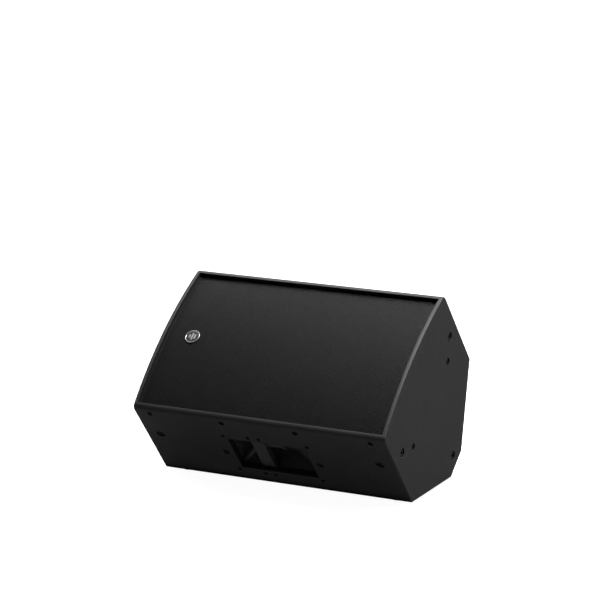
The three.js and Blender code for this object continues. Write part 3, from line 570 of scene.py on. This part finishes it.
def perforated(first):
    # one hexagonal hole with three bars and two corners, repeated
    flats = pitch * mesh["openShare"]
    bar = pitch - flats
    deselect()
    bpy.ops.mesh.primitive_circle_add(vertices=6, radius=flats / math.sqrt(3), fill_type="NOTHING")
    sheet = bpy.context.object
    edit(sheet)
    for degrees in (0, 60, 120):
        out = Vector((math.cos(math.radians(degrees)), math.sin(math.radians(degrees)), 0))
        middle = out * flats / 2
        choose("edges", lambda e: ((e.verts[0].co + e.verts[1].co) / 2 - middle).length < bar * mesh["merge"])
        bpy.ops.mesh.extrude_region_move(TRANSFORM_OT_translate={"value": out * bar})
    for degrees in (30, 90):
        out = Vector((math.cos(math.radians(degrees)), math.sin(math.radians(degrees)), 0))
        tip = out * flats / math.sqrt(3)
        choose("verts", lambda v: (v.co - tip).length < bar * 1.01 and v.co.length > tip.length - 1e-6)
        bpy.ops.mesh.edge_face_add()
    bpy.ops.object.mode_set(mode="OBJECT")
    repeats = [(2, (pitch / 2, rowStep)), (mesh["cellsAcross"], (pitch, 0)), (rowPairs, (0, 2 * rowStep))]
    for count, step in repeats:
        modify(
            sheet, "ARRAY", count=count, use_relative_offset=False, use_constant_offset=True,
            constant_offset_displace=(*step, 0), use_merge_vertices=True,
            merge_threshold=bar * mesh["merge"],
        )
    edit(sheet)
    bpy.ops.mesh.select_all(action="SELECT")
    bpy.ops.mesh.remove_doubles(threshold=bar * mesh["merge"])
    bpy.ops.mesh.delete_loose(use_verts=True, use_edges=True, use_faces=False)
    bpy.ops.mesh.select_all(action="SELECT")
    bpy.ops.mesh.normals_make_consistent(inside=False)
    bpy.ops.object.mode_set(mode="OBJECT")
    start = min(v.co.x for v in sheet.data.vertices), min(v.co.y for v in sheet.data.vertices)
    wide = max(v.co.x for v in sheet.data.vertices) - start[0]
    for vertex in sheet.data.vertices:  # laid on the arc, the left length just before the right one
        angle = (vertex.co.x - start[0] - wide / 2) / arcRadius
        vertex.co = (
            vertex.co.y - start[1] + first * rowStep - flats * 0.25,
            arcRadius * math.sin(angle),
            arcCentre - mesh["recess"] + arcRadius * math.cos(angle),
        )
    edit(sheet)
    centre = Vector((badgeX, 0, cabinet["bulge"] - mesh["recess"]))
    choose("faces", lambda f: (f.calc_center_median() - centre).length < mesh["badgeHole"])
    bpy.ops.mesh.delete(type="FACE")
    bpy.ops.mesh.select_all(action="SELECT")
    bpy.ops.mesh.normals_make_consistent(inside=False)
    bpy.ops.object.mode_set(mode="OBJECT")
    if sum(face.normal.z for face in sheet.data.polygons[:50]) < 0:
        edit(sheet)
        bpy.ops.mesh.select_all(action="SELECT")
        bpy.ops.mesh.flip_normals()
    modify(sheet, "SOLIDIFY", thickness=mesh["thickness"], offset=-1)
    return sheet


outX, outY = mesh["halfX"], mesh["halfY"]
border = cube((-outX, outX), (-outY, outY), (mesh["bottom"], clearFront))
curveTop(border, mesh["recess"] + mesh["borderDrop"])
underY = outY - mesh["fold"]
under = cube((-mesh["pastEnds"], mesh["pastEnds"]), (-underY, underY), (-clearFront, clearFront))
cutWith(border, curveTop(under, mesh["recess"] + mesh["underDrop"]))
inX, inY = outX - mesh["border"], outY - mesh["border"]
cutWith(border, cube((-inX, inX), (-inY, inY), (-clearFront, clearFront)))
smooth(border)
place(border, "grille_border", finishes["grille"], stands=["grille_sheet"])
for first, name in ((-2 * rowPairs, "grille_mesh_left"), (0, "grille_mesh_right")):
    place(perforated(first), name, finishes["grille"], stands=["grille_sheet"])
print("grille made")

# badge
badge = {
    "radius": 0.0166,
    "rim": 0.0016,
    "rimRound": 0.0005,
    "back": 0.0114,
    "height": 0.0026,
    "pocket": 0.0008,
    "faceGap": 0.0002,
    "dome": 0.055,  # rise of the face, as a share of its radius
    "stem": 0.0038,
    "stemEnds": (-0.0045, 0.0001),
    "bars": ((-0.0062, 0.0042), (0, 0.0088), (0.0062, 0.0060)),  # place and half height
    "barHalf": 0.0020,
    "barHeights": (0.0018, 0.0027),
    "barRound": 0.0015,
}
atBadge = Matrix.Translation((badgeX, 0, badge["back"]))
rim = cylinder(badge["radius"], 0, badge["height"], 64)
edit(rim)
choose("faces", lambda f: f.normal.z > 0.9)
bpy.ops.mesh.inset(thickness=badge["rim"])
bpy.ops.mesh.extrude_region_move(TRANSFORM_OT_translate={"value": (0, 0, -badge["pocket"])})
topOfRim = badge["height"] - near
choose("edges", lambda e: e.calc_face_angle(0) > 1 and min(v.co.z for v in e.verts) > topOfRim)
bpy.ops.mesh.bevel(offset=badge["rimRound"], segments=3, affect="EDGES")
smooth(rim)
place(freeze(rim, atBadge), "badge_rim", finishes["badgeRim"], "badge", ["badge_ring"])

deselect()
faceRadius = badge["radius"] - badge["rim"] - badge["faceGap"]
bpy.ops.mesh.primitive_uv_sphere_add(segments=48, ring_count=24, radius=faceRadius)
face = bpy.context.object
edit(face)
bpy.ops.mesh.select_all(action="SELECT")
bpy.ops.mesh.bisect(plane_co=(0, 0, 0), plane_no=(0, 0, -1), use_fill=True, clear_outer=True)
bpy.ops.object.mode_set(mode="OBJECT")
face.scale = (1, 1, badge["dome"])
freeze(face)
stem = cylinder(badge["stem"], *badge["stemEnds"], 24)
stem.location.z = -(badge["height"] - badge["pocket"])
freeze(stem)
face = joined([face, stem])
smooth(face, 40)
freeze(face, atBadge @ Matrix.Translation((0, 0, badge["height"] - badge["pocket"])))
place(face, "badge_face", finishes["badgeFace"], "badge", ["badge_disc"])

bars = []
for x, tall in badge["bars"]:
    bar = cube((x - badge["barHalf"], x + badge["barHalf"]), (-tall, tall), badge["barHeights"])
    edit(bar)
    choose("edges", lambda e: abs(e.verts[0].co.z - e.verts[1].co.z) > 0.0005)
    bpy.ops.mesh.bevel(offset=badge["barRound"], segments=4, affect="EDGES")
    bpy.ops.object.mode_set(mode="OBJECT")
    bars.append(bar)
bars = smooth(joined(bars))
place(freeze(bars, atBadge), "badge_bars", finishes["badgeRim"], "badge")
print("badge made")


# pieces that follow a CAD node's shape, with worked edges
def mergedCopy(nodeName):
    piece = bpy.data.objects.new(nodeName + "_work", nodes[nodeName].data.copy())
    bpy.context.scene.collection.objects.link(piece)
    edit(piece)
    bpy.ops.mesh.select_all(action="SELECT")
    bpy.ops.mesh.remove_doubles(threshold=0.00002)
    bpy.ops.mesh.dissolve_limited(angle_limit=math.radians(2))
    bpy.ops.object.mode_set(mode="OBJECT")
    return piece


def rounded(piece, rounding, angle=28):
    modify(piece, "BEVEL", width=rounding, segments=2, limit_method="ANGLE", angle_limit=math.radians(angle))
    return smooth(piece)


def keep(piece, name, material, stands, body="cabinet"):
    # as place, for a piece already in the row's frame
    freeze(piece, toRow.inverted())
    return place(piece, name, material, body, stands)


worked = {
    # CAD node: piece, finish, slot, rounding
    "handle_grip": ("handle_casting", "cast", "cast", 0.0016),
    # the cup gets the pocket finish: its plastic painted lighter, as painted light in the recess
    "handle_cup": ("handle_pocket", "pocket", "plastic", 0.0008),
    "jack_socket_1": ("speaker_socket_1", "plastic", "plastic", 0.0006),
    "jack_socket_2": ("speaker_socket_2", "plastic", "plastic", 0.0006),
    "pole_socket": ("pole_cup", "plastic", "plastic", 0.0005),
}
notch = {"x": 0.118, "half": 0.0025, "across": (-0.1285, -0.1225), "deep": (-0.03, -0.01)}
for nodeName, (pieceName, finishName, slotName, rounding) in worked.items():
    piece = mergedCopy(nodeName)
    if nodeName == "handle_cup":  # its flange is notched where two rigging screws pass its ends
        for x in (-notch["x"], notch["x"]):
            cutter = cube((x - notch["half"], x + notch["half"]), notch["across"], notch["deep"])
            cutWith(piece, freeze(cutter, toRow @ lowSide))
    keep(rounded(piece, rounding), pieceName, finishes[finishName], [nodeName])

# connector dish: a lip on the rear panel, round a bay with two socket holes in its floor
bay = {
    "half": (0.075, 0.046),
    "corner": 0.012,
    "lip": 0.009,
    "wall": 0.0025,
    "face": 0.0028,
    "seat": 0.0003,
    "depth": 0.026,
    "draft": 0.985,
    "rounding": 0.0007,
    "socketHole": 0.0156,
    "socketX": 0.031,
}
bayX, bayY = bay["half"]
dishPiece = cube((-bayX, bayX), (-bayY, bayY), (bay["seat"], bay["face"]))
edit(dishPiece)
choose("edges", lambda e: abs(e.verts[0].co.z - e.verts[1].co.z) > 0.001)
bpy.ops.mesh.bevel(offset=bay["corner"], segments=7, affect="EDGES")
choose("faces", lambda f: f.normal.z < -0.9)
bpy.ops.mesh.inset(thickness=bay["lip"])
outerDrop = -bay["depth"] - bay["wall"] - bay["seat"]
bpy.ops.mesh.extrude_region_move(TRANSFORM_OT_translate={"value": (0, 0, outerDrop)})
choose("faces", lambda f: f.normal.z > 0.9 and f.calc_center_median().z > 0)
bpy.ops.mesh.inset(thickness=bay["lip"] + bay["wall"])
bpy.ops.mesh.extrude_region_move(TRANSFORM_OT_translate={"value": (0, 0, -bay["depth"] - bay["face"])})
bpy.ops.transform.resize(value=(bay["draft"], bay["draft"], 1), center_override=(0, 0, -bay["depth"]))
bpy.ops.object.mode_set(mode="OBJECT")
rounded(dishPiece, bay["rounding"], 40)
for x in (-bay["socketX"], bay["socketX"]):
    hole = cylinder(bay["socketHole"], -bay["depth"] - 0.01, -bay["depth"] + 0.002, 40)
    hole.location.x = x
    cutWith(dishPiece, freeze(hole))
modify(dishPiece, "TRIANGULATE", min_vertices=5)
smooth(dishPiece)
place(freeze(dishPiece, rearSide), "connector_dish", finishes["plastic"], stands=["jack_dish"])

socket = {
    "core": 0.0062,
    "coreRound": 0.0012,
    "floor": -0.046,
    "top": -0.0285,
    "keyWidth": 0.0032,
    "keyFrom": 0.0045,
    "bore": 0.0028,
    "boreDepth": 0.004,
    "contact": (0.0004, 0.0016),  # half sizes of a blade
    "contactOff": 0.0005,
    "tip": 0.0006,
    "tipInset": 0.0002,
}
cores, contacts = [], []
for x in (-bay["socketX"], bay["socketX"]):
    core = cylinder(socket["core"], socket["floor"], socket["top"], 32)
    edit(core)
    choose("edges", lambda e: all(v.co.z > socket["top"] - near for v in e.verts))
    bpy.ops.mesh.bevel(offset=socket["coreRound"], segments=3, affect="EDGES")
    bpy.ops.object.mode_set(mode="OBJECT")
    key = socket["keyWidth"] / 2
    cutWith(core, cube((-key, key), (socket["keyFrom"], 0.02), (socket["floor"] + 0.004, 0.02)))
    cutWith(core, cylinder(socket["bore"], socket["top"] - socket["boreDepth"], 0.01, 24))
    cores.append(smooth(freeze(core, Matrix.Translation((x, 0, 0)))))
    for degrees in (45, 135, 225, 315):
        angle = math.radians(degrees)
        away = socket["core"] + socket["contactOff"]
        thin, wide = socket["contact"]
        blade = cube((-thin, thin), (-wide, wide), (socket["floor"] + 0.001, socket["top"] - 0.003))
        edit(blade)
        choose("faces", lambda f: f.normal.z > 0.9)
        bpy.ops.mesh.inset(thickness=socket["tipInset"])
        bpy.ops.mesh.extrude_region_move(TRANSFORM_OT_translate={"value": (0, 0, socket["tip"])})
        bpy.ops.object.mode_set(mode="OBJECT")
        spot = Matrix.Translation((x + away * math.cos(angle), away * math.sin(angle), 0))
        contacts.append(freeze(blade, spot @ Matrix.Rotation(angle, 4, "Z")))
place(freeze(joined(cores), rearSide), "socket_cores", finishes["plastic"])
place(freeze(smooth(joined(contacts)), rearSide), "socket_contacts", finishes["plated"])
print("handle, dish and sockets made")


# screws
screw = {"head": 0.0041, "height": 0.0022, "domeShare": 0.62, "socket": 0.0016, "deep": 0.0013}


def screwHead(scale, low, sink):
    # a domed head with a six-sided recess, its underside at low and its shank sink deep
    radius, height = screw["head"] * scale, screw["height"] * scale
    head = cylinder(radius, low - sink, low + height, 28)
    edit(head)
    choose("edges", lambda e: all(v.co.z > low + height - 1e-6 for v in e.verts))
    bpy.ops.mesh.bevel(offset=height * screw["domeShare"], segments=4, affect="EDGES")
    bpy.ops.object.mode_set(mode="OBJECT")
    top = low + height
    cutWith(head, cylinder(screw["socket"] * scale, top - screw["deep"] * scale, top + 0.002, 6))
    return smooth(head)


def screwSet(name, panel, places, scale, low, sink):
    first = screwHead(scale, low, sink)
    copies = [copied(first, panel @ Matrix.Translation((x, y, 0))) for x, y in places]
    bpy.data.objects.remove(first, do_unlink=True)
    return place(joined(copies), name, finishes["steel"])


screwSets = {
    # piece: panel, places, scale, height of the underside, depth below it
    "handle_screws": (lowSide, screwPlaces["handle"], 0.95, -0.0054, 0.003),
    "grille_screws_low": (lowSide, screwPlaces["grille"], 1.15, -0.0055, 0.003),
    "grille_screws_high": (highSide, [(x, -y) for x, y in screwPlaces["grille"]], 1.15, -0.0055, 0.003),
    "dish_screws": (rearSide, screwPlaces["dish"], 0.8, 0.0028, 0.001),
}
for setName, settings in screwSets.items():
    screwSet(setName, *settings)
print("screws made")

# plugs in the rigging points
plugSizes = {
    "gap": 0.0011,
    "bottom": -0.0053,
    "top": -0.0026,
    "rounding": 0.0012,
    "key": 0.48,  # six-sided recess, as a share of the plug's radius
    "keyFloor": -0.0046,
}
for nodeName, panel, x, y, size in riggingPoints:
    radius = rigging[size]["bore"] - plugSizes["gap"]
    plug = cylinder(radius, plugSizes["bottom"], plugSizes["top"], 36)
    edit(plug)
    choose("edges", lambda e: all(v.co.z > plugSizes["top"] - near for v in e.verts))
    bpy.ops.mesh.bevel(offset=plugSizes["rounding"], segments=3, affect="EDGES")
    bpy.ops.object.mode_set(mode="OBJECT")
    cutWith(plug, cylinder(radius * plugSizes["key"], plugSizes["keyFloor"], 0.002, 6))
    smooth(plug)
    freeze(plug, panel @ Matrix.Translation((x, y, 0)))
    place(plug, "rigging_" + nodeName, finishes["steel"], stands=[nodeName])
print("plugs made")

# feet
foot = {"rounding": 0.0013, "recess": 0.0065, "recessDepth": 0.0022, "screwScale": 1.1, "screwSeat": 0.0029}
for i in range(1, 5):
    nodeName = f"rubber_foot_{i}"
    (lowX, lowY, lowZ), (highX, highY, highZ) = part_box(nodeName)
    middle = ((lowX + highX) / 2, (lowY + highY) / 2)
    pad = cylinder((highX - lowX) / 2, lowZ, highZ, 48)
    edit(pad)
    choose("edges", lambda e: all(v.co.z < lowZ + near for v in e.verts))
    bpy.ops.mesh.bevel(offset=foot["rounding"], segments=4, affect="EDGES")
    bpy.ops.object.mode_set(mode="OBJECT")
    cutWith(pad, cylinder(foot["recess"], lowZ - 0.01, lowZ + foot["recessDepth"], 32))
    smooth(pad)
    freeze(pad, Matrix.Translation((*middle, 0)))
    keep(pad, f"foot_pad_{i}", finishes["rubber"], [nodeName])
    head = screwHead(foot["screwScale"], 0, 0.001)
    turn = Matrix.Translation((*middle, lowZ + foot["screwSeat"])) @ Matrix.Rotation(math.pi, 4, "X")
    keep(freeze(head, turn), f"foot_screw_{i}", finishes["steel"], [])
print("feet made")

# everything else keeps its CAD shape
slotFinishes = {
    "coating": "coating", "bare_ply": "barePly", "grille": "grille", "foam": "foam", "badge": "badgeFace",
    "badge_ring": "badgeRim", "cast": "cast", "plastic": "plastic", "steel": "steel", "plated": "plated",
    "ferrite": "ferrite", "paper": "paper", "cloth": "cloth", "copper": "copper", "board": "board",
    "rubber": "rubber", "wadding": "wadding",
}
for entry in frame["record"]["subparts"]:
    node = nodes[entry["node"]]
    node.data.materials.clear()
    node.data.materials.append(finishes[slotFinishes[entry["material_slot"]]])
print("CAD nodes finished")
